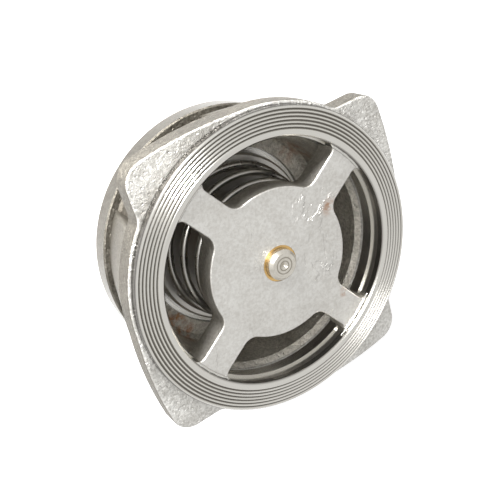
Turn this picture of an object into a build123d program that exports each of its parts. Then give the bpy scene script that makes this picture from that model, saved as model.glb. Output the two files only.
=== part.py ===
from build123d import *
import math
import os

# DN50 spring-loaded wafer check valve. Millimetres. +Z is the flow direction,
# the origin is the centre of the inlet face, and the outlet face is at BODY_LENGTH.

# --- driving dimensions: housing -------------------------------------------
BODY_LENGTH = 40.0          # face to face
OUTLET_RING_R = 48.0        # serrated sealing ring at the outlet
OUTLET_RING_STEP = 2.6      # how far that ring stands above the cam plate
OUTLET_BORE_R = 39.0        # machined bore at the outlet
OUTLET_BORE_DEPTH = 5.3
SECOND_BORE_R = 38.3        # second machined bore, below the first
SECOND_BORE_DEPTH = 9.4
LEDGE_SLOPE = 2.4           # height of the rough sloping ledge under the machined bores
CAST_WALL_R = 36.6          # as-cast inner wall
FLOOR_Z = 8.5               # annular floor round the disc
FLOOR_FILLET = 1.5
NECK_R = 40.5               # outside of the neck between the two ends
INLET_RING_R = 44.0
NECK_FOOT_CHAMFER = 0.8
INLET_RING_LENGTH = 7.0
EDGE = 0.5                  # small machined chamfer

# --- serrations in the outlet face ------------------------------------------
LAND_R = 41.0               # flat land ends here
SERRATION_COUNT = 6
SERRATION_DEPTH = 0.45
RIDGE_FLAT = 0.35

# --- cams that centre the valve between the flange bolts --------------------
CAM_COUNT = 4
CAM_ANGLE = 47.0            # angle of the first cam's tip
CAM_TIP_R = 59.8            # where the two flanks would meet, before rounding
CAM_TIP_TURN = 1.8          # that corner's angle ahead of the cam's own angle
CAM_BELLY_R = 52.2          # middle of the long flank
CAM_BELLY_TURN = 18.0
CAM_LONG_TURN = 38.0        # the long flank ends this far behind the tip
CAM_SHORT_TURN = 12.6       # the short flank ends this far ahead of it
CAM_TIP_FILLET = 7.0
CAM_FOOT_FILLET = 5.0
CAM_EDGE_FILLET = 0.8
VALLEY_R = 49.0             # plate radius between cams
PLATE_THICKNESS = 6.3
PAD_START = 15.5            # cast pads under the valleys, measured from the cam tip
PAD_END = 50.0
PAD_FOOT_R = 42.0
PAD_FILLET = 1.2

# --- spider that carries the guide ------------------------------------------
ARM_ANGLE = 45.0
ARM_WIDTH = 10.5
ARM_DROP = 1.4              # spider face below the outlet face
SPIDER_THICKNESS = 7.5
HUB_R = 24.0
HUB_FILLET = 4.5
WALL_FILLET = 2.5
SPIDER_EDGE_FILLET = 0.5

# --- guide, stem and disc ---------------------------------------------------
STEM_R = 4.9
STEM_RUNNING_FIT = 0.05
STEM_PROUD = 1.05           # stem tip above the outlet face
STEM_TIP_CHAMFER = 0.9
STEM_THREAD_R = 4.0
THREAD_CLEARANCE = 0.02
BUSH_WALL = 0.85
BUSH_FLANGE_R = 8.2
BUSH_FLANGE_THICKNESS = 2.0
BUSH_RECESS = 0.2           # bush end below the hub face
PRESS_CLEARANCE = 0.01
DISC_R = 28.5
DISC_THICKNESS = 2.8
DISC_CHAMFER = 0.7
DISC_STEP_HEIGHT = 1.2
DISC_BOSS_R = 7.5
LIFT = 11.0
STOP_GAP = 0.1

# --- seat, its seal and its retaining ring ----------------------------------
SEAT_BORE_R = 25.0
SEAT_Z = 7.6
SEAT_LAND_INNER_R = 25.8
SEAT_LAND_OUTER_R = 28.0
SEAT_RELIEF = 0.4
SEAT_POCKET_R = 33.0        # pocket in the housing for the seat ring
SHOULDER_R = 30.5
SHOULDER_Z = 6.5
SEAT_CLEARANCE = 0.05
O_RING_SECTION_R = 0.88
O_RING_CLEARANCE = 0.02
CLIP_THICKNESS = 1.5
CLIP_WIDTH = 3.2
CLIP_CLEARANCE = 0.1
CLIP_GROOVE_DEPTH = 1.6
CLIP_GAP = 16.0             # angle of the opening between the ears
CLIP_EAR_R = 2.6
CLIP_EAR_HOLE_R = 1.1
SEAT_FOOT_Z = 3.4           # underside of the seat ring, on the clip

# --- washer, nut and spring --------------------------------------------------
WASHER_R = 9.0
WASHER_THICKNESS = 1.2
NUT_FLATS = 13.0
NUT_HEIGHT = 4.0
STEM_TAIL = 0.8             # thread beyond the nut
WIRE_R = 1.2
SPRING_TOP_R = 22.4
SPRING_FOOT_R = 25.2
SPRING_TURNS = 3.25
SPRING_START = 150.0
SPRING_SEAT_GAP = 0.05
SPRING_STEP_CLEARANCE = 0.3

# --- worked-out places --------------------------------------------------------
PLATE_TOP_Z = BODY_LENGTH - OUTLET_RING_STEP
PLATE_FOOT_Z = PLATE_TOP_Z - PLATE_THICKNESS
SPIDER_TOP_Z = BODY_LENGTH - ARM_DROP
SPIDER_FOOT_Z = SPIDER_TOP_Z - SPIDER_THICKNESS
BUSH_FOOT_Z = SPIDER_FOOT_Z - BUSH_FLANGE_THICKNESS
BUSH_R = STEM_R + STEM_RUNNING_FIT + BUSH_WALL
DISC_TOP_Z = SEAT_Z + DISC_THICKNESS
BOSS_TOP_Z = BUSH_FOOT_Z - LIFT - STOP_GAP
STEM_TIP_Z = BODY_LENGTH + STEM_PROUD
NUT_FOOT_Z = SEAT_Z - WASHER_THICKNESS - NUT_HEIGHT
STEP_R = SPRING_FOOT_R - WIRE_R - SPRING_STEP_CLEARANCE


def polar(radius, angle):
    """Point at a radius and an angle in degrees."""
    turn = math.radians(angle)
    return (radius * math.cos(turn), radius * math.sin(turn))


def revolved(points):
    """Solid of revolution about Z from (radius, z) corners."""
    outline = Polyline(*[(r, 0, z) for r, z in points], close=True)
    return revolve(make_face(outline), Axis.Z)


def tube(outer_r, inner_r, z_low, z_high):
    """Plain ring between two heights."""
    return revolved([(inner_r, z_low), (outer_r, z_low), (outer_r, z_high), (inner_r, z_high)])


def near_radius(shapes, radius, slack):
    """Vertices whose distance from the axis is the given one."""
    return [v for v in shapes if abs(math.hypot(v.X, v.Y) - radius) < slack]


def serrated_face():
    """Corners of the outlet face from the outside in: ridges with flat tops."""
    outer = OUTLET_RING_R - EDGE
    pitch = (outer - LAND_R) / SERRATION_COUNT
    corners = [(OUTLET_RING_R, BODY_LENGTH - EDGE), (outer, BODY_LENGTH)]
    for index in range(SERRATION_COUNT):
        ridge = outer - index * pitch
        groove = ridge - RIDGE_FLAT - (pitch - RIDGE_FLAT) / 2
        corners.append((ridge - RIDGE_FLAT, BODY_LENGTH))
        corners.append((groove, BODY_LENGTH - SERRATION_DEPTH))
        corners.append((ridge - pitch, BODY_LENGTH))
    return corners


def housing_shell():
    """Turned form of the housing, without cams, pads and spider."""
    ledge_top_z = BODY_LENGTH - SECOND_BORE_DEPTH
    groove_low = SEAT_FOOT_Z - CLIP_THICKNESS - CLIP_CLEARANCE
    groove_r = SEAT_POCKET_R + CLIP_GROOVE_DEPTH
    outside = [
        (SEAT_POCKET_R + EDGE, 0),
        (INLET_RING_R - EDGE, 0),
        (INLET_RING_R, EDGE),
        (INLET_RING_R, INLET_RING_LENGTH - EDGE),
        (INLET_RING_R - EDGE, INLET_RING_LENGTH),
        (NECK_R + NECK_FOOT_CHAMFER, INLET_RING_LENGTH),
        (NECK_R, INLET_RING_LENGTH + NECK_FOOT_CHAMFER),
        (NECK_R, PLATE_FOOT_Z),
        (OUTLET_RING_R, PLATE_FOOT_Z),
    ]
    inside = [
        (OUTLET_BORE_R + EDGE, BODY_LENGTH),
        (OUTLET_BORE_R, BODY_LENGTH - EDGE),
        (OUTLET_BORE_R, BODY_LENGTH - OUTLET_BORE_DEPTH),
        (SECOND_BORE_R, BODY_LENGTH - OUTLET_BORE_DEPTH),
        (SECOND_BORE_R, ledge_top_z),
        (CAST_WALL_R, ledge_top_z - LEDGE_SLOPE),
        (CAST_WALL_R, FLOOR_Z + FLOOR_FILLET),
        (CAST_WALL_R - FLOOR_FILLET, FLOOR_Z),
        (SHOULDER_R, FLOOR_Z),
        (SHOULDER_R, SHOULDER_Z),
        (SEAT_POCKET_R, SHOULDER_Z),
        (SEAT_POCKET_R, SEAT_FOOT_Z),
        (groove_r, SEAT_FOOT_Z),
        (groove_r, groove_low),
        (SEAT_POCKET_R, groove_low),
        (SEAT_POCKET_R, EDGE),
    ]
    return revolved(outside + serrated_face() + inside)


def cam_plate():
    """Round plate with four spiral cams, bored to the neck."""
    sketch = Circle(VALLEY_R)
    inner = NECK_R
    for index in range(CAM_COUNT):
        tip_angle = CAM_ANGLE + index * 360 / CAM_COUNT
        foot = polar(VALLEY_R - 0.1, tip_angle - CAM_LONG_TURN)
        belly = polar(CAM_BELLY_R, tip_angle - CAM_BELLY_TURN)
        tip = polar(CAM_TIP_R, tip_angle + CAM_TIP_TURN)
        short_foot = polar(VALLEY_R - 0.1, tip_angle + CAM_SHORT_TURN)
        edges = [
            ThreePointArc(foot, belly, tip),
            Line(tip, short_foot),
            Line(short_foot, polar(inner, tip_angle)),
            Line(polar(inner, tip_angle), foot),
        ]
        sketch += make_face(edges)
    tips = near_radius(sketch.vertices(), CAM_TIP_R, 0.5)
    sketch = fillet(tips, CAM_TIP_FILLET)
    feet = [
        v for v in near_radius(sketch.vertices(), VALLEY_R, 0.3)
        if 8 < (math.degrees(math.atan2(v.Y, v.X)) - CAM_ANGLE) % (360 / CAM_COUNT) < 20
    ]
    sketch = fillet(feet, CAM_FOOT_FILLET)
    plate = extrude(Pos(0, 0, PLATE_FOOT_Z) * sketch, PLATE_THICKNESS)
    rim = plate.edges().filter_by(lambda e: abs(e.center().Z - PLATE_TOP_Z) < 0.01)
    plate = fillet(rim, CAM_EDGE_FILLET)
    return plate - Pos(0, 0, PLATE_FOOT_Z) * extrude(Circle(NECK_R - 1), PLATE_THICKNESS)


def pads():
    """Four cast pads that run from the valleys down to the inlet ring."""
    profile = Polyline(
        (NECK_R - 1, 0, SHOULDER_Z),
        (PAD_FOOT_R, 0, SHOULDER_Z),
        (PAD_FOOT_R, 0, INLET_RING_LENGTH),
        (VALLEY_R - 0.2, 0, PLATE_FOOT_Z),
        (NECK_R - 1, 0, PLATE_FOOT_Z + 1),
        close=True,
    )
    pad = revolve(make_face(profile), Axis.Z, PAD_END - PAD_START)
    corners = [
        e for e in pad.edges().filter_by(GeomType.LINE)
        if e.length > 10 and math.hypot(e.center().X, e.center().Y) > NECK_R + 1
    ]
    pad = fillet(corners, PAD_FILLET)
    start = CAM_ANGLE + PAD_START
    return [Rot(0, 0, start + index * 360 / CAM_COUNT) * pad for index in range(CAM_COUNT)]


def spider():
    """Hub and four arms, let into the housing wall."""
    rim_r = OUTLET_BORE_R + 2
    sketch = Circle(rim_r) - Circle(OUTLET_BORE_R)
    sketch += Circle(HUB_R)
    for index in range(4):
        angle = ARM_ANGLE + index * 90
        sketch += Rot(0, 0, angle) * Pos(rim_r / 2, 0) * Rectangle(rim_r - 2, ARM_WIDTH)
    sketch = fillet(near_radius(sketch.vertices(), HUB_R, 0.3), HUB_FILLET)
    sketch = fillet(near_radius(sketch.vertices(), OUTLET_BORE_R, 0.05), WALL_FILLET)
    form = extrude(Pos(0, 0, SPIDER_FOOT_Z) * sketch, SPIDER_THICKNESS)
    outline = [
        e for e in form.edges()
        if abs(e.center().Z - SPIDER_TOP_Z) < 0.01
        and max(math.hypot(v.X, v.Y) for v in e.vertices()) < OUTLET_BORE_R + 0.01
        and math.hypot(e.center().X, e.center().Y) < OUTLET_BORE_R - 0.3
    ]
    form = fillet(outline, SPIDER_EDGE_FILLET)
    bore_r = BUSH_R + PRESS_CLEARANCE
    return form - Pos(0, 0, SPIDER_FOOT_Z) * extrude(Circle(bore_r), SPIDER_THICKNESS)


def body():
    """The whole casting."""
    form = housing_shell() + cam_plate() + spider()
    for pad in pads():
        form += pad
    return form


def guide_bush():
    """Flanged bronze bush, pressed into the hub from below."""
    bore_r = STEM_R + STEM_RUNNING_FIT
    top_z = SPIDER_TOP_Z - BUSH_RECESS
    return revolved([
        (bore_r, BUSH_FOOT_Z),
        (BUSH_FLANGE_R, BUSH_FOOT_Z),
        (BUSH_FLANGE_R, SPIDER_FOOT_Z),
        (BUSH_R, SPIDER_FOOT_Z),
        (BUSH_R, top_z),
        (bore_r, top_z),
    ])


def guide_stem():
    """Stem with a threaded tail; its shoulder stands on the disc's boss."""
    tail_z = NUT_FOOT_Z - STEM_TAIL
    drill_r = 1.3
    drill_depth = 0.8
    return revolved([
        (0, tail_z),
        (STEM_THREAD_R - EDGE, tail_z),
        (STEM_THREAD_R, tail_z + EDGE),
        (STEM_THREAD_R, BOSS_TOP_Z),
        (STEM_R, BOSS_TOP_Z),
        (STEM_R, STEM_TIP_Z - STEM_TIP_CHAMFER),
        (STEM_R - STEM_TIP_CHAMFER, STEM_TIP_Z),
        (drill_r, STEM_TIP_Z),
        (0, STEM_TIP_Z - drill_depth),
    ])


def valve_disc():
    """Disc with a spring step and a central boss that is the lift stop."""
    bore_r = STEM_THREAD_R + THREAD_CLEARANCE
    boss_foot_r = DISC_BOSS_R + 2.5
    return revolved([
        (bore_r, SEAT_Z),
        (DISC_R - EDGE, SEAT_Z),
        (DISC_R, SEAT_Z + EDGE),
        (DISC_R, DISC_TOP_Z - DISC_CHAMFER),
        (DISC_R - DISC_CHAMFER, DISC_TOP_Z),
        (STEP_R, DISC_TOP_Z),
        (STEP_R - EDGE, DISC_TOP_Z + DISC_STEP_HEIGHT),
        (boss_foot_r, DISC_TOP_Z + DISC_STEP_HEIGHT),
        (DISC_BOSS_R, DISC_TOP_Z + DISC_STEP_HEIGHT + 2.5),
        (DISC_BOSS_R, BOSS_TOP_Z - EDGE),
        (DISC_BOSS_R - EDGE, BOSS_TOP_Z),
        (bore_r, BOSS_TOP_Z),
    ])


def disc_washer():
    """Plain washer under the disc."""
    bore_r = STEM_THREAD_R + THREAD_CLEARANCE
    return tube(WASHER_R, bore_r, SEAT_Z - WASHER_THICKNESS, SEAT_Z)


def disc_nut():
    """Thin hexagon nut that clamps the disc to the stem."""
    hexagon = RegularPolygon(NUT_FLATS / 2, 6, major_radius=False)
    ring = hexagon - Circle(STEM_THREAD_R + THREAD_CLEARANCE)
    nut = extrude(Pos(0, 0, NUT_FOOT_Z) * ring, NUT_HEIGHT)
    crown = revolved([
        (0, NUT_FOOT_Z),
        (NUT_FLATS / 2, NUT_FOOT_Z),
        (NUT_FLATS / 2 + 1.2, NUT_FOOT_Z + 0.6),
        (NUT_FLATS / 2 + 1.2, NUT_FOOT_Z + NUT_HEIGHT),
        (0, NUT_FOOT_Z + NUT_HEIGHT),
    ])
    return nut & crown


def spring():
    """Conical compression spring between the disc and the hub."""
    low_z = DISC_TOP_Z + WIRE_R + SPRING_SEAT_GAP
    height = SPIDER_FOOT_Z - WIRE_R - SPRING_SEAT_GAP - low_z
    taper = math.degrees(math.atan2(SPRING_TOP_R - SPRING_FOOT_R, height))
    path = Helix(height / SPRING_TURNS, height, SPRING_FOOT_R, cone_angle=taper)
    wire_section = Plane(origin=path @ 0, z_dir=path % 0) * Circle(WIRE_R)
    coil = sweep(wire_section, path, is_frenet=True)
    return Pos(0, 0, low_z) * Rot(0, 0, SPRING_START) * coil


def seat_ring():
    """Seat ring, put in from the inlet, with a groove for its O-ring."""
    outer_r = SEAT_POCKET_R - SEAT_CLEARANCE
    spigot_r = SHOULDER_R - SEAT_CLEARANCE * 4
    groove_r = SEAT_POCKET_R - 2 * (O_RING_SECTION_R + O_RING_CLEARANCE)
    middle_z = (SEAT_FOOT_Z + SHOULDER_Z) / 2
    half = O_RING_SECTION_R + O_RING_CLEARANCE * 2
    relief_z = SEAT_Z - SEAT_RELIEF
    return revolved([
        (SEAT_BORE_R + EDGE * 2, SEAT_FOOT_Z),
        (outer_r, SEAT_FOOT_Z),
        (outer_r, middle_z - half),
        (groove_r, middle_z - half),
        (groove_r, middle_z + half),
        (outer_r, middle_z + half),
        (outer_r, SHOULDER_Z),
        (spigot_r, SHOULDER_Z),
        (spigot_r, relief_z),
        (SEAT_LAND_OUTER_R, relief_z),
        (SEAT_LAND_OUTER_R, SEAT_Z),
        (SEAT_LAND_INNER_R, SEAT_Z),
        (SEAT_BORE_R, SEAT_Z - (SEAT_LAND_INNER_R - SEAT_BORE_R)),
        (SEAT_BORE_R, SEAT_FOOT_Z + EDGE * 2),
    ])


def seat_o_ring():
    """O-ring between the seat ring and the housing."""
    major_r = SEAT_POCKET_R - O_RING_SECTION_R - O_RING_CLEARANCE
    return Pos(0, 0, (SEAT_FOOT_Z + SHOULDER_Z) / 2) * Torus(major_r, O_RING_SECTION_R)


def retaining_ring():
    """Internal retaining ring with two plier ears."""
    outer_r = SEAT_POCKET_R + CLIP_GROOVE_DEPTH - CLIP_CLEARANCE
    inner_r = outer_r - CLIP_WIDTH
    gap = make_face(Polyline((0, 0), polar(60, -CLIP_GAP / 2), polar(60, CLIP_GAP / 2), close=True))
    sketch = Circle(outer_r) - Circle(inner_r) - gap
    ear_r = inner_r - CLIP_EAR_R * 0.6
    ear_angle = CLIP_GAP / 2 + math.degrees(CLIP_EAR_R / ear_r)
    for side in (-1, 1):
        sketch += Pos(*polar(ear_r, side * ear_angle)) * Circle(CLIP_EAR_R)
    for side in (-1, 1):
        sketch -= Pos(*polar(ear_r, side * ear_angle)) * Circle(CLIP_EAR_HOLE_R)
    return extrude(Pos(0, 0, SEAT_FOOT_Z - CLIP_THICKNESS) * sketch, CLIP_THICKNESS)


NODES = {
    "body": body,
    "guide_bush": guide_bush,
    "seat_ring": seat_ring,
    "seat_o_ring": seat_o_ring,
    "retaining_ring": retaining_ring,
    "valve_disc": valve_disc,
    "guide_stem": guide_stem,
    "disc_washer": disc_washer,
    "disc_nut": disc_nut,
    "spring": spring,
}

os.makedirs("parts", exist_ok=True)
for name, make in NODES.items():
    export_step(make(), f"parts/{name}.step")
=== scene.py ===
import math

import bpy
from mathutils import Matrix, Vector


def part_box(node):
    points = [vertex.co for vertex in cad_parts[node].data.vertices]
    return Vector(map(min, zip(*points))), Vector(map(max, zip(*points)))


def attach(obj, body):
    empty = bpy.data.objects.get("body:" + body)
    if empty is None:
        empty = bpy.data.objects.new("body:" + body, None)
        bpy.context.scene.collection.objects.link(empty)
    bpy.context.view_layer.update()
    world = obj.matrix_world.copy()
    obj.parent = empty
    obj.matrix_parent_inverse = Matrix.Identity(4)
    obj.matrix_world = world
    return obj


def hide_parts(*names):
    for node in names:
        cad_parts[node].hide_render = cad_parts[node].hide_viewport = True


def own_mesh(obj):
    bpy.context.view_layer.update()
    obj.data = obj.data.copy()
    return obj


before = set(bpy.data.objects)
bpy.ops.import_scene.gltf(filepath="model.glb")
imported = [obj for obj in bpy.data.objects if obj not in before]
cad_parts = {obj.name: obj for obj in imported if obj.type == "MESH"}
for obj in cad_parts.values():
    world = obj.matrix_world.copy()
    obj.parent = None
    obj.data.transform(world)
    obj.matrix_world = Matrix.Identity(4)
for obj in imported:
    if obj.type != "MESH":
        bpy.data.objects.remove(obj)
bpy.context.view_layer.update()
MM = 0.001

# places taken from the frame
body_low, body_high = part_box("body")
spring_low, spring_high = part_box("spring")
disc_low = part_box("valve_disc")[0]
OUTLET_Z = body_high[2]

# sizes of the casting that the finishes follow, in millimetres
OUTLET_MM = OUTLET_Z / MM
RING_R = 48.0
RING_STEP_Z = OUTLET_MM - 2.6
GROOVE_Z = OUTLET_MM - 0.45
BORE_R = 39.0
LEDGE_Z = OUTLET_MM - 9.4
INNER_WALL_R = 38.0
SPIDER_FACE_Z = OUTLET_MM - 1.4
SPIDER_LOW_Z = 31.0
NECK_R = 40.5
INLET_RING_Z = 7.0
DISC_THICKNESS = 2.8

# places where water left rust on the casting: centre and reach, in millimetres
RUST_SPOTS = [
    ((19.6, 13.0, 38.0), 4.2),
    ((23.4, -17.6, 38.6), 2.8),
    ((-24.0, -22.5, 8.5), 7.0),
    ((-23.0, -28.0, 8.5), 8.0),
    ((-32.0, -10.0, 8.5), 9.0),
    ((25.5, 23.0, 13.0), 8.0),
    ((4.0, 36.0, 14.0), 8.0),
]

# low raised skin left on the hub's face: centre and reach, in millimetres
SKIN_PATCHES = [
    ((15.0, 15.0, 38.6), 14.0),
    ((16.0, -8.0, 38.6), 10.0),
]

# burrs at the arms' roots: first and last angle in degrees, and half thickness in millimetres
BURRS = [
    (35.0, 53.0, 0.14),
    (125.0, 145.0, 0.12),
    (217.0, 234.0, 0.15),
    (302.0, 326.0, 0.20),
]
BURR_WAVES = ((61, 0.10), (143, 0.07))      # waves round the bore, and their height in millimetres

# base colours of the metals and the rubber: each at its darkest and its lightest; the side colours and the
# inlet rim are darkened as painted shade
CAST_FRONT = ((0.38, 0.365, 0.335, 1), (0.68, 0.67, 0.64, 1))
# painted shade: the side-facing casting is the front colour darkened for how light falls
CAST_SIDE_SHADE = ((0.085, 0.077, 0.063, 1), (0.18, 0.167, 0.142, 1))
SPIDER_FRONT = ((0.48, 0.463, 0.43, 1), (0.62, 0.61, 0.58, 1))
# painted shade: the spider's side faces are darkened for how light falls
SPIDER_SIDE_SHADE = ((0.34, 0.32, 0.28, 1), (0.50, 0.48, 0.44, 1))
INNER_WALL = ((0.32, 0.30, 0.26, 1), (0.62, 0.59, 0.53, 1))
TURNED_FACE = ((0.53, 0.512, 0.468, 1), (0.65, 0.635, 0.60, 1))
# painted shade: the inlet ring's turned side, darkened far below the turned face colour
INLET_RIM_SHADE = ((0.11, 0.10, 0.084, 1), (0.175, 0.164, 0.142, 1))
BRIGHT_STEEL = ((0.50, 0.49, 0.46, 1), (0.74, 0.73, 0.70, 1))
STEM_STEEL = ((0.40, 0.37, 0.31, 1), (0.72, 0.69, 0.63, 1))
DISC_STEEL = ((0.42, 0.405, 0.375, 1), (0.62, 0.605, 0.575, 1))
BUSH_BRONZE = ((0.48, 0.29, 0.10, 1), (0.72, 0.50, 0.22, 1))
WIRE_STEEL = ((0.22, 0.21, 0.19, 1), (0.48, 0.47, 0.44, 1))
BLACK_RUBBER = ((0.018, 0.018, 0.018, 1), (0.05, 0.05, 0.05, 1))

# dirt and rust that lie on them, and painted shade for the grooves, the neck and the ring's step
# painted shade in the serration valleys and down the ring's outer side
GROOVE_SHADE = (0.16, 0.15, 0.135, 1)
# painted shade in the recessed neck between the inlet ring and the lobes
NECK_SHADE = (0.10, 0.09, 0.075, 1)
# painted shadow and dark reflection on the outlet ring's outer step
STEP_SHADE = (0.06, 0.055, 0.05, 1)
TOOL_LINE_DIRT = (0.10, 0.08, 0.05, 1)
STEEL_STAIN = (0.30, 0.18, 0.08, 1)
RUST = (0.30, 0.13, 0.045, 1)


# ---------------------------------------------------------------- node helpers
def new_group(name, inputs, outputs):
    """Shader node group with float inputs and the given outputs."""
    tree = bpy.data.node_groups.new(name, "ShaderNodeTree")
    for label, value in inputs:
        socket = tree.interface.new_socket(label, in_out="INPUT", socket_type="NodeSocketFloat")
        socket.default_value = value
    for label, kind in outputs:
        tree.interface.new_socket(label, in_out="OUTPUT", socket_type=kind)
    return tree


class Maker:
    """Adds nodes to one tree and links them."""

    def __init__(self, tree):
        self.tree = tree

    def put(self, socket, value):
        """Gives a socket a number, a colour or a link."""
        if isinstance(value, bpy.types.NodeSocket):
            self.tree.links.new(value, socket)
        elif value is not None:
            socket.default_value = value

    def math(self, operation, first, second=None):
        node = self.tree.nodes.new("ShaderNodeMath")
        node.operation = operation
        self.put(node.inputs[0], first)
        self.put(node.inputs[1], second)
        return node.outputs[0]

    def times(self, first, *others):
        """Product of numbers and masks."""
        product = first
        for other in others:
            product = self.math("MULTIPLY", product, other)
        return product

    def step(self, value, low, high):
        """0 below low and 1 above high, smooth between."""
        node = self.tree.nodes.new("ShaderNodeMapRange")
        node.interpolation_type = "SMOOTHSTEP"
        self.put(node.inputs["Value"], value)
        self.put(node.inputs["From Min"], low)
        self.put(node.inputs["From Max"], high)
        return node.outputs[0]

    def below(self, value, low, high):
        """1 below low and 0 above high, smooth between."""
        return self.math("SUBTRACT", 1.0, self.step(value, low, high))

    def ramp(self, value, low, high, out_low, out_high):
        """Straight map from one range to another, clamped."""
        node = self.tree.nodes.new("ShaderNodeMapRange")
        self.put(node.inputs["Value"], value)
        self.put(node.inputs["From Min"], low)
        self.put(node.inputs["From Max"], high)
        self.put(node.inputs["To Min"], out_low)
        self.put(node.inputs["To Max"], out_high)
        return node.outputs[0]

    def mix(self, factor, first, second):
        """Mixes two colours."""
        node = self.tree.nodes.new("ShaderNodeMix")
        node.data_type = "RGBA"
        self.put(node.inputs[0], factor)
        self.put(node.inputs[6], first)
        self.put(node.inputs[7], second)
        return node.outputs[2]

    def blend(self, factor, first, second):
        """Mixes two numbers."""
        node = self.tree.nodes.new("ShaderNodeMix")
        self.put(node.inputs[0], factor)
        self.put(node.inputs[2], first)
        self.put(node.inputs[3], second)
        return node.outputs[0]

    def noise(self, vector, scale, detail=4.0, roughness=0.55, distortion=0.0):
        node = self.tree.nodes.new("ShaderNodeTexNoise")
        self.put(node.inputs["Vector"], vector)
        self.put(node.inputs["Scale"], scale)
        self.put(node.inputs["Detail"], detail)
        self.put(node.inputs["Roughness"], roughness)
        self.put(node.inputs["Distortion"], distortion)
        return node.outputs["Fac"]

    def place(self):
        """Object coordinates."""
        return self.tree.nodes.new("ShaderNodeTexCoord").outputs["Object"]

    def split(self, vector):
        node = self.tree.nodes.new("ShaderNodeSeparateXYZ")
        self.put(node.inputs[0], vector)
        return node.outputs

    def join(self, x, y, z):
        node = self.tree.nodes.new("ShaderNodeCombineXYZ")
        self.put(node.inputs[0], x)
        self.put(node.inputs[1], y)
        self.put(node.inputs[2], z)
        return node.outputs[0]

    def near(self, place, centre_mm, reach_mm):
        """1 at a point and 0 past a reach from it, both in millimetres."""
        node = self.tree.nodes.new("ShaderNodeVectorMath")
        node.operation = "DISTANCE"
        self.put(node.inputs[0], place)
        node.inputs[1].default_value = [value * MM for value in centre_mm]
        return self.below(node.outputs["Value"], 0.0, reach_mm * MM)

    def group(self, tree, **values):
        node = self.tree.nodes.new("ShaderNodeGroup")
        node.node_tree = tree
        for label, value in values.items():
            self.put(node.inputs[label.replace("_", " ")], value)
        return node.outputs

    def radius_mm(self, parts):
        """Distance from the flow axis in millimetres."""
        squares = self.math("ADD", self.times(parts[0], parts[0]), self.times(parts[1], parts[1]))
        return self.times(self.math("SQRT", squares), 1 / MM)


# ---------------------------------------------------------------- effects
def valve_zones():
    """Group: radius and height in millimetres, and how far the surface faces the outlet."""
    tree = new_group("valve_zones", [], [("Radius", "NodeSocketFloat"), ("Height", "NodeSocketFloat"),
                                         ("Facing", "NodeSocketFloat")])
    maker = Maker(tree)
    out = tree.nodes.new("NodeGroupOutput")
    parts = maker.split(maker.place())
    maker.put(out.inputs["Radius"], maker.radius_mm(parts))
    maker.put(out.inputs["Height"], maker.times(parts[2], 1 / MM))
    normal = maker.split(tree.nodes.new("ShaderNodeNewGeometry").outputs["True Normal"])
    maker.put(out.inputs["Facing"], normal[2])
    return tree


def cast_grain():
    """Group: height of a sand-cast skin, with a soft mottle and a fine speckle."""
    tree = new_group("cast_grain", [("Coarse", 500.0), ("Fine", 2200.0), ("Pits", 0.5)],
                     [("Height", "NodeSocketFloat"), ("Mottle", "NodeSocketFloat"),
                      ("Speckle", "NodeSocketFloat")])
    maker = Maker(tree)
    inside = tree.nodes.new("NodeGroupInput")
    out = tree.nodes.new("NodeGroupOutput")
    place = maker.place()
    coarse = maker.noise(place, inside.outputs["Coarse"], 5.0, 0.65)
    fine = maker.noise(place, inside.outputs["Fine"], 3.0, 0.6)
    cells = tree.nodes.new("ShaderNodeTexVoronoi")
    maker.put(cells.inputs["Vector"], place)
    maker.put(cells.inputs["Scale"], inside.outputs["Coarse"])
    pits = maker.times(maker.step(cells.outputs["Distance"], 0.05, 0.3), inside.outputs["Pits"])
    height = maker.math("ADD", maker.math("ADD", coarse, maker.times(fine, 0.5)), pits)
    maker.put(out.inputs["Height"], height)
    maker.put(out.inputs["Mottle"], maker.noise(place, 90.0, 6.0, 0.6, 0.4))
    maker.put(out.inputs["Speckle"], maker.step(maker.noise(place, 1100.0, 3.0, 0.6), 0.35, 0.65))
    return tree


def turned_lines():
    """Group: fine concentric tool marks round the flow axis."""
    tree = new_group("turned_lines", [("Lines per mm", 5.0)],
                     [("Height", "NodeSocketFloat"), ("Streak", "NodeSocketFloat")])
    maker = Maker(tree)
    inside = tree.nodes.new("NodeGroupInput")
    out = tree.nodes.new("NodeGroupOutput")
    parts = maker.split(maker.place())
    across = maker.math("ADD", maker.radius_mm(parts), maker.times(parts[2], 1 / MM))
    line = maker.join(maker.times(across, inside.outputs["Lines per mm"]), 0.0, 0.0)
    maker.put(out.inputs["Height"], maker.noise(line, 1.0, 2.0, 0.5))
    slow = maker.join(maker.times(across, 1.1), maker.math("ARCTAN2", parts[1], parts[0]), 0.0)
    maker.put(out.inputs["Streak"], maker.noise(slow, 1.4, 5.0, 0.6))
    return tree


def stains():
    """Group: sparse brown spots, 0 where clean."""
    tree = new_group("stains", [("Scale", 60.0), ("Amount", 0.5)], [("Mask", "NodeSocketFloat")])
    maker = Maker(tree)
    inside = tree.nodes.new("NodeGroupInput")
    out = tree.nodes.new("NodeGroupOutput")
    place = maker.place()
    cloud = maker.noise(place, inside.outputs["Scale"], 6.0, 0.7, 0.6)
    low = maker.math("SUBTRACT", 0.74, maker.times(inside.outputs["Amount"], 0.2))
    high = maker.math("ADD", low, 0.1)
    maker.put(out.inputs["Mask"], maker.step(cloud, low, high))
    return tree


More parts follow.
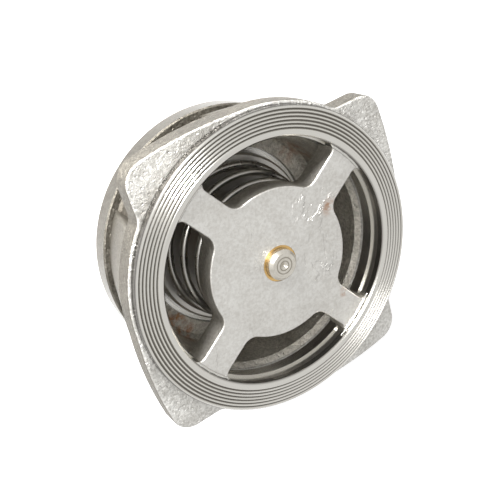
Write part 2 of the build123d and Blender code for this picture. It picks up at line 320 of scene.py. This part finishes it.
def blasted_skin():
    """Group: low irregular plateaus and short scratches left on a blasted face."""
    tree = new_group("blasted_skin", [], [("Plateau", "NodeSocketFloat"), ("Scratches", "NodeSocketFloat")])
    maker = Maker(tree)
    out = tree.nodes.new("NodeGroupOutput")
    place = maker.place()
    plateau = maker.step(maker.noise(place, 75.0, 6.0, 0.62, 0.3), 0.46, 0.51)
    turned = tree.nodes.new("ShaderNodeMapping")
    maker.put(turned.inputs["Vector"], place)
    turned.inputs["Rotation"].default_value = (0, 0, math.radians(-20))
    turned.inputs["Scale"].default_value = (1.6, 0.10, 1.0)
    scratches = maker.step(maker.noise(turned.outputs[0], 900.0, 2.0, 0.5), 0.66, 0.72)
    where = maker.step(maker.noise(place, 60.0, 2.0, 0.5), 0.50, 0.58)
    maker.put(out.inputs["Plateau"], plateau)
    maker.put(out.inputs["Scratches"], maker.times(scratches, where, -0.5))
    return tree


ZONES = valve_zones()
SKIN = blasted_skin()
GRAIN = cast_grain()
LINES = turned_lines()
STAINS = stains()


# ---------------------------------------------------------------- materials
def new_material(name):
    """Material with a Principled shader, its maker and that shader."""
    material = bpy.data.materials.new(name)
    material.use_nodes = True
    shader = material.node_tree.nodes["Principled BSDF"]
    return material, Maker(material.node_tree), shader


def bump(maker, height, strength, distance):
    node = maker.tree.nodes.new("ShaderNodeBump")
    node.inputs["Strength"].default_value = strength
    node.inputs["Distance"].default_value = distance
    maker.put(node.inputs["Height"], height)
    return node.outputs["Normal"]


def housing_masks(maker):
    """Masks of the casting's turned faces, spider, front faces, rough inside, neck and ring side."""
    zone = maker.group(ZONES)
    radius, height, facing = zone["Radius"], zone["Height"], zone["Facing"]
    ring = maker.times(maker.step(height, RING_STEP_Z + 0.02, RING_STEP_Z + 0.06),
                       maker.step(radius, BORE_R - 0.2, BORE_R - 0.1))
    bores = maker.times(maker.step(height, LEDGE_Z - 0.1, LEDGE_Z + 0.1),
                        maker.step(radius, INNER_WALL_R + 0.1, INNER_WALL_R + 0.2),
                        maker.below(radius, BORE_R + 0.1, BORE_R + 0.2))
    inlet = maker.below(height, INLET_RING_Z - 0.7, INLET_RING_Z - 0.4)
    return {
        "machined": maker.math("MAXIMUM", maker.math("MAXIMUM", ring, bores), inlet),
        "grooves": maker.times(ring, maker.below(height, GROOVE_Z, OUTLET_MM)),
        "inlet_rim": maker.times(inlet, maker.step(height, 0.05, 0.3)),
        "spider": maker.times(maker.step(height, SPIDER_LOW_Z, SPIDER_LOW_Z + 0.1),
                              maker.below(radius, INNER_WALL_R, INNER_WALL_R + 0.1)),
        "front": maker.times(maker.step(facing, 0.35, 0.75),
                             maker.step(height, SPIDER_LOW_Z - 2.0, SPIDER_LOW_Z)),
        "inside": maker.times(maker.below(radius, INNER_WALL_R - 0.2, INNER_WALL_R),
                              maker.below(height, SPIDER_LOW_Z - 1.0, SPIDER_LOW_Z - 0.2)),
        "neck": maker.times(maker.step(radius, NECK_R - 0.9, NECK_R - 0.5),
                            maker.below(radius, NECK_R + 0.7, NECK_R + 4.5),
                            maker.step(height, INLET_RING_Z, INLET_RING_Z + 0.4),
                            maker.below(height, SPIDER_LOW_Z - 0.2, SPIDER_LOW_Z)),
        "ring_side": maker.times(maker.step(radius, RING_R - 0.15, RING_R - 0.05),
                                 maker.below(radius, RING_R + 0.05, RING_R + 0.3),
                                 maker.step(height, RING_STEP_Z - 0.05, RING_STEP_Z + 0.05)),
    }


def housing_rust(maker, masks):
    """Faint rust all over, more of it inside, and the spots where water stood."""
    share = maker.math("ADD", maker.times(masks["inside"], 0.7), 0.25)
    rust = maker.times(maker.group(STAINS, Scale=55.0, Amount=0.35)["Mask"], share)
    cloud = maker.step(maker.noise(maker.place(), 260.0, 5.0, 0.7), 0.40, 0.62)
    for centre, reach in RUST_SPOTS:
        spot = maker.times(maker.near(maker.place(), centre, reach), cloud)
        rust = maker.math("MAXIMUM", rust, spot)
    return rust


def housing_colour(maker, masks, grain, lines):
    """Cast and turned faces in their own colours, with side faces and the inlet rim's side painted darker
    as shade, then painted shade in the grooves, neck and ring step, then rust.
    """
    patch = maker.math("ADD", maker.times(maker.step(grain["Mottle"], 0.3, 0.7), 0.45),
                       maker.times(grain["Speckle"], 0.55))
    # painted shade: faces that turn away from the outlet take the darker side colours, and outlet-facing
    # faces take the lighter ones
    side = maker.mix(masks["spider"], maker.mix(patch, *CAST_SIDE_SHADE), maker.mix(patch, *SPIDER_SIDE_SHADE))
    front = maker.mix(masks["spider"], maker.mix(patch, *CAST_FRONT), maker.mix(patch, *SPIDER_FRONT))
    colour = maker.mix(masks["front"], side, front)
    colour = maker.mix(masks["inside"], colour, maker.mix(patch, *INNER_WALL))
    turned = maker.mix(lines["Streak"], *TURNED_FACE)
    # painted shade on the inlet ring's side
    turned = maker.mix(masks["inlet_rim"], turned, maker.mix(patch, *INLET_RIM_SHADE))
    # painted shade in the serration valleys and on the ring's outer side below them
    turned = maker.mix(maker.times(masks["grooves"], 0.75), turned, GROOVE_SHADE)
    colour = maker.mix(masks["machined"], colour, turned)
    # painted shade in the neck recess
    colour = maker.mix(maker.times(masks["neck"], 0.6), colour, NECK_SHADE)
    # painted shadow and dark reflection on the ring's outer step
    colour = maker.mix(maker.times(masks["ring_side"], 0.75), colour, STEP_SHADE)
    return maker.mix(housing_rust(maker, masks), colour, RUST)


def housing_relief(maker, masks, grain, lines):
    """Rough cast skin, smoother on the spider with its marks, and faint lines where turned."""
    plateau_height = 1.1
    skin = maker.group(SKIN)
    marks = maker.times(skin["Scratches"], masks["spider"])
    for centre, reach in SKIN_PATCHES:
        raised = maker.times(maker.near(maker.place(), centre, reach), skin["Plateau"], plateau_height)
        marks = maker.math("ADD", marks, raised)
    cast = maker.times(grain["Height"], maker.blend(masks["spider"], 1.7, 0.45))
    cast = maker.math("ADD", cast, maker.times(marks, masks["front"]))
    return maker.blend(masks["machined"], cast, maker.times(lines["Height"], 0.03))


def cast_housing():
    """Sand-cast stainless steel with turned sealing faces and bores."""
    material, maker, shader = new_material("cast_housing")
    masks = housing_masks(maker)
    grain = maker.group(GRAIN, Coarse=620.0, Fine=2600.0, Pits=0.35)
    lines = maker.group(LINES)
    maker.put(shader.inputs["Base Color"], housing_colour(maker, masks, grain, lines))
    shader.inputs["Metallic"].default_value = 1.0
    cast_rough = maker.blend(masks["spider"], maker.ramp(grain["Mottle"], 0.3, 0.7, 0.40, 0.55), 0.46)
    turned_rough = maker.ramp(lines["Streak"], 0.3, 0.7, 0.20, 0.26)
    maker.put(shader.inputs["Roughness"], maker.blend(masks["machined"], cast_rough, turned_rough))
    relief = housing_relief(maker, masks, grain, lines)
    maker.put(shader.inputs["Normal"], bump(maker, relief, 1.0, 0.30 * MM))
    return material


def turned_steel(name, colours, rough, lines_per_mm=4.0, dark_rings=()):
    """Turned steel or bronze with concentric tool marks, and dirt in rings of the given radii."""
    material, maker, shader = new_material(name)
    lines = maker.group(LINES, Lines_per_mm=lines_per_mm)
    stain = maker.group(STAINS, Scale=120.0, Amount=0.2)["Mask"]
    colour = maker.mix(lines["Streak"], *colours)
    radius = maker.group(ZONES)["Radius"]
    for ring_r in dark_rings:
        off = maker.math("ABSOLUTE", maker.math("SUBTRACT", radius, ring_r))
        colour = maker.mix(maker.times(maker.below(off, 0.05, 0.30), 0.65), colour, TOOL_LINE_DIRT)
    colour = maker.mix(maker.times(stain, 0.5), colour, STEEL_STAIN)
    maker.put(shader.inputs["Base Color"], colour)
    maker.put(shader.inputs["Roughness"], maker.ramp(lines["Streak"], 0.3, 0.7, rough, rough + 0.12))
    shader.inputs["Metallic"].default_value = 1.0
    maker.put(shader.inputs["Normal"], bump(maker, lines["Height"], 0.5, 0.08 * MM))
    return material


def drawn_wire():
    """Spring wire: smooth, with a faint grain and darker patches."""
    material, maker, shader = new_material("drawn_wire")
    grain = maker.group(GRAIN, Coarse=700.0, Fine=3000.0, Pits=0.0)
    maker.put(shader.inputs["Base Color"], maker.mix(grain["Mottle"], *WIRE_STEEL))
    maker.put(shader.inputs["Roughness"], maker.ramp(grain["Mottle"], 0.3, 0.7, 0.22, 0.36))
    shader.inputs["Metallic"].default_value = 1.0
    maker.put(shader.inputs["Normal"], bump(maker, grain["Height"], 0.3, 0.04 * MM))
    return material


def rubber():
    """Matt black rubber with a dusty bloom."""
    material, maker, shader = new_material("black_rubber")
    grain = maker.group(GRAIN, Coarse=900.0, Fine=3200.0, Pits=0.1)
    maker.put(shader.inputs["Base Color"], maker.mix(grain["Mottle"], *BLACK_RUBBER))
    maker.put(shader.inputs["Roughness"], maker.ramp(grain["Mottle"], 0.3, 0.7, 0.55, 0.7))
    maker.put(shader.inputs["Normal"], bump(maker, grain["Height"], 0.3, 0.05 * MM))
    return material


# ---------------------------------------------------------------- new pieces
def wound_spring():
    """Conical spring with closed end turns, wound from a ring of wire by Screw and shaped by height."""
    wire_r = 1.2 * MM
    top_r = 22.4 * MM
    foot_r = 25.2 * MM
    free_turns = 2.6
    end_turns = 0.55
    turns = free_turns + 2 * end_turns
    steps_per_turn = 72
    ease = 0.35                        # share of the climb that starts and ends gently
    start = math.radians(150)
    low = disc_low[2] + DISC_THICKNESS * MM + wire_r
    high = spring_high[2] - wire_r
    bpy.ops.object.select_all(action="DESELECT")
    bpy.ops.mesh.primitive_circle_add(vertices=20, radius=wire_r, location=(foot_r, 0, 0),
                                      rotation=(math.pi / 2, 0, 0))
    piece = bpy.context.object
    piece.name = "wound_spring"
    bpy.ops.object.transform_apply(location=True, rotation=True, scale=True)
    winding = piece.modifiers.new("winding", "SCREW")
    winding.angle = turns * 2 * math.pi
    winding.screw_offset = turns
    winding.steps = int(turns * steps_per_turn)
    winding.render_steps = winding.steps
    winding.use_smooth_shade = True
    bpy.ops.object.modifier_apply(modifier="winding")
    for vertex in piece.data.vertices:
        wound = max(0.0, min(turns, vertex.co.z))
        angle = math.atan2(vertex.co.y, vertex.co.x)
        part_turn = angle / (2 * math.pi)
        passed = max(0.0, min(turns, round(wound - part_turn) + part_turn))
        rise = max(0.0, min(1.0, (passed - end_turns) / free_turns))
        rise = rise * rise * (3 - 2 * rise) * ease + rise * (1 - ease)
        out = math.hypot(vertex.co.x, vertex.co.y) - foot_r
        radius = foot_r + (top_r - foot_r) * rise + out
        height = low + (high - low) * rise + vertex.co.z - passed
        vertex.co = (radius * math.cos(angle), radius * math.sin(angle), height)
    bpy.ops.object.mode_set(mode="EDIT")
    bpy.ops.mesh.select_all(action="DESELECT")
    bpy.ops.mesh.select_non_manifold()
    bpy.ops.mesh.edge_face_add()
    bpy.ops.mesh.select_all(action="SELECT")
    bpy.ops.mesh.normals_make_consistent(inside=False)
    bpy.ops.transform.rotate(value=start, orient_axis="Z", center_override=(0, 0, 0))
    bpy.ops.object.mode_set(mode="OBJECT")
    return piece


def keep_arc(start, end):
    """Cuts the selected ring down to the arc between two angles in degrees."""
    first = math.radians(start)
    last = math.radians(end)
    bpy.ops.mesh.bisect(plane_co=(0, 0, 0), plane_no=(-math.sin(first), math.cos(first), 0),
                        use_fill=True, clear_inner=True)
    bpy.ops.mesh.select_all(action="SELECT")
    bpy.ops.mesh.bisect(plane_co=(0, 0, 0), plane_no=(-math.sin(last), math.cos(last), 0),
                        use_fill=True, clear_outer=True)


def bore_burrs():
    """Thin bright burrs that the boring tool left across the root of each arm."""
    burr_r = (BORE_R - 0.25) * MM
    slivers = []
    for start, end, thickness in BURRS:
        bpy.ops.object.select_all(action="DESELECT")
        bpy.ops.mesh.primitive_torus_add(major_radius=burr_r, minor_radius=thickness * MM,
                                         major_segments=240, minor_segments=8,
                                         location=(0, 0, SPIDER_FACE_Z * MM))
        sliver = bpy.context.object
        bpy.ops.object.transform_apply(location=True, rotation=True, scale=True)
        bpy.ops.object.mode_set(mode="EDIT")
        bpy.ops.mesh.select_all(action="SELECT")
        keep_arc(start, end)
        bpy.ops.object.mode_set(mode="OBJECT")
        for vertex in sliver.data.vertices:
            angle = math.atan2(vertex.co.y, vertex.co.x)
            wander = sum(math.sin(angle * waves) * height for waves, height in BURR_WAVES)
            vertex.co.x -= wander * MM * math.cos(angle)
            vertex.co.y -= wander * MM * math.sin(angle)
            vertex.co.z += wander * 0.8 * MM
        slivers.append(sliver)
    bpy.ops.object.select_all(action="DESELECT")
    for sliver in slivers:
        sliver.select_set(True)
    bpy.context.view_layer.objects.active = slivers[0]
    bpy.ops.object.join()
    piece = bpy.context.object
    piece.name = "bore_burrs"
    bpy.ops.object.shade_smooth()
    return piece


# ---------------------------------------------------------------- finishes
housing_metal = cast_housing()
bright_steel = turned_steel("turned_steel", BRIGHT_STEEL, rough=0.22)
stem_steel = turned_steel("stem_steel", STEM_STEEL, rough=0.24, lines_per_mm=3.0, dark_rings=(1.5, 2.6))
disc_steel = turned_steel("disc_steel", DISC_STEEL, rough=0.30, lines_per_mm=2.5)
bush_bronze = turned_steel("bush_bronze", BUSH_BRONZE, rough=0.25)
wire_steel = drawn_wire()
FINISHES = {
    "body": housing_metal,
    "guide_bush": bush_bronze,
    "guide_stem": stem_steel,
    "seat_ring": bright_steel,
    "seat_o_ring": rubber(),
    "retaining_ring": wire_steel,
    "valve_disc": disc_steel,
    "disc_washer": bright_steel,
    "disc_nut": bright_steel,
    "spring": wire_steel,
}
for node, finish in FINISHES.items():
    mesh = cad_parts[node].data
    mesh.materials.clear()
    mesh.materials.append(finish)

spring = wound_spring()
spring.data.materials.append(wire_steel)
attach(spring, "housing")
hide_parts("spring")
burrs = bore_burrs()
burrs.data.materials.append(bright_steel)
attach(burrs, "housing")

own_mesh(spring)


# ---------------------------------------------------------------- stage
FLOOR_GAP = 0.02 * MM      # keeps the floor's face clear of the inlet face
FLOOR_WIDTH = 8.0
FLOOR_GLOW = 0.55          # lifts the lit floor to white in the camera and in reflections
WORLD_LIGHT = 0.35         # how strongly the world lights the object
WORLD_SEEN = 1.0           # how bright it looks


def seen_directly(maker):
    """1 for what the camera, a reflection or a clear face sees."""
    path = maker.tree.nodes.new("ShaderNodeLightPath").outputs
    return maker.math("MAXIMUM", path["Is Camera Ray"],
                      maker.math("MAXIMUM", path["Is Glossy Ray"], path["Is Transmission Ray"]))


def studio_floor():
    """White floor, see-through from below, that keeps the object's shadow."""
    bpy.ops.object.select_all(action="DESELECT")
    bpy.ops.mesh.primitive_plane_add(size=FLOOR_WIDTH, location=(0, 0, body_low[2] - FLOOR_GAP))
    floor = bpy.context.object
    floor.name = "studio_floor"
    material, maker, shader = new_material("studio_floor")
    shader.inputs["Base Color"].default_value = (0.82, 0.82, 0.82, 1)
    shader.inputs["Roughness"].default_value = 0.9
    shader.inputs["Specular IOR Level"].default_value = 0.0
    shader.inputs["Emission Color"].default_value = (1, 1, 1, 1)
    maker.put(shader.inputs["Emission Strength"], maker.times(seen_directly(maker), FLOOR_GLOW))
    tree = maker.tree
    clear = tree.nodes.new("ShaderNodeBsdfTransparent")
    swap = tree.nodes.new("ShaderNodeMixShader")
    maker.put(swap.inputs[0], tree.nodes.new("ShaderNodeNewGeometry").outputs["Backfacing"])
    maker.put(swap.inputs[1], shader.outputs[0])
    maker.put(swap.inputs[2], clear.outputs[0])
    maker.put(tree.nodes["Material Output"].inputs["Surface"], swap.outputs[0])
    floor.data.materials.append(material)


def studio_world():
    """Even world that lights softly and looks white."""
    world = bpy.data.worlds.new("studio")
    bpy.context.scene.world = world
    world.use_nodes = True
    maker = Maker(world.node_tree)
    background = world.node_tree.nodes["Background"]
    background.inputs["Color"].default_value = (1, 1, 1, 1)
    maker.put(background.inputs["Strength"], maker.blend(seen_directly(maker), WORLD_LIGHT, WORLD_SEEN))


# camera: its place in outlet ring radii from the outlet face's centre, and its directions
CAMERA_FROM_OUTLET = Vector((-2.617, 1.764, 3.913))
CAMERA_RIGHT = Vector((0.85463, 0.0, 0.51924))
CAMERA_UP = Vector((0.17334, 0.94263, -0.28531))
CAMERA_TURN = math.radians(-7.0)      # the arms stand at 45 degrees in this frame
LENS_MM = 57.6
SENSOR_MM = 36.0


def set_camera():
    """Camera at the viewing angle; returns its right, up and back directions."""
    turn = Matrix.Rotation(CAMERA_TURN, 3, "Z")
    right = (turn @ CAMERA_RIGHT).normalized()
    up = (turn @ CAMERA_UP).normalized()
    back = right.cross(up)
    place = turn @ CAMERA_FROM_OUTLET * RING_R * MM + Vector((0, 0, OUTLET_Z))
    data = bpy.data.cameras.new("camera")
    data.lens = LENS_MM
    data.sensor_width = SENSOR_MM
    data.clip_start = 0.01
    camera = bpy.data.objects.new("camera", data)
    bpy.context.scene.collection.objects.link(camera)
    camera.matrix_world = Matrix.Translation(place) @ Matrix((right, up, back)).transposed().to_4x4()
    bpy.context.scene.camera = camera
    return right, up, back


def softbox(name, direction, distance, size, watts):
    """Square white area lamp aimed at the valve's middle."""
    target = Vector((0, 0, OUTLET_Z / 2))
    data = bpy.data.lights.new(name, "AREA")
    data.size = size
    data.energy = watts
    lamp = bpy.data.objects.new(name, data)
    bpy.context.scene.collection.objects.link(lamp)
    lamp.location = target + direction.normalized() * distance
    lamp.rotation_euler = direction.to_track_quat("Z", "Y").to_euler()


right, up, back = set_camera()
studio_floor()
studio_world()
softbox("key_light", back * 0.9 + up * 0.7 - right * 0.6, distance=0.7, size=0.20, watts=23.0)
softbox("front_light", back, distance=0.6, size=0.25, watts=2.0)
bpy.context.scene.view_settings.view_transform = "Standard"
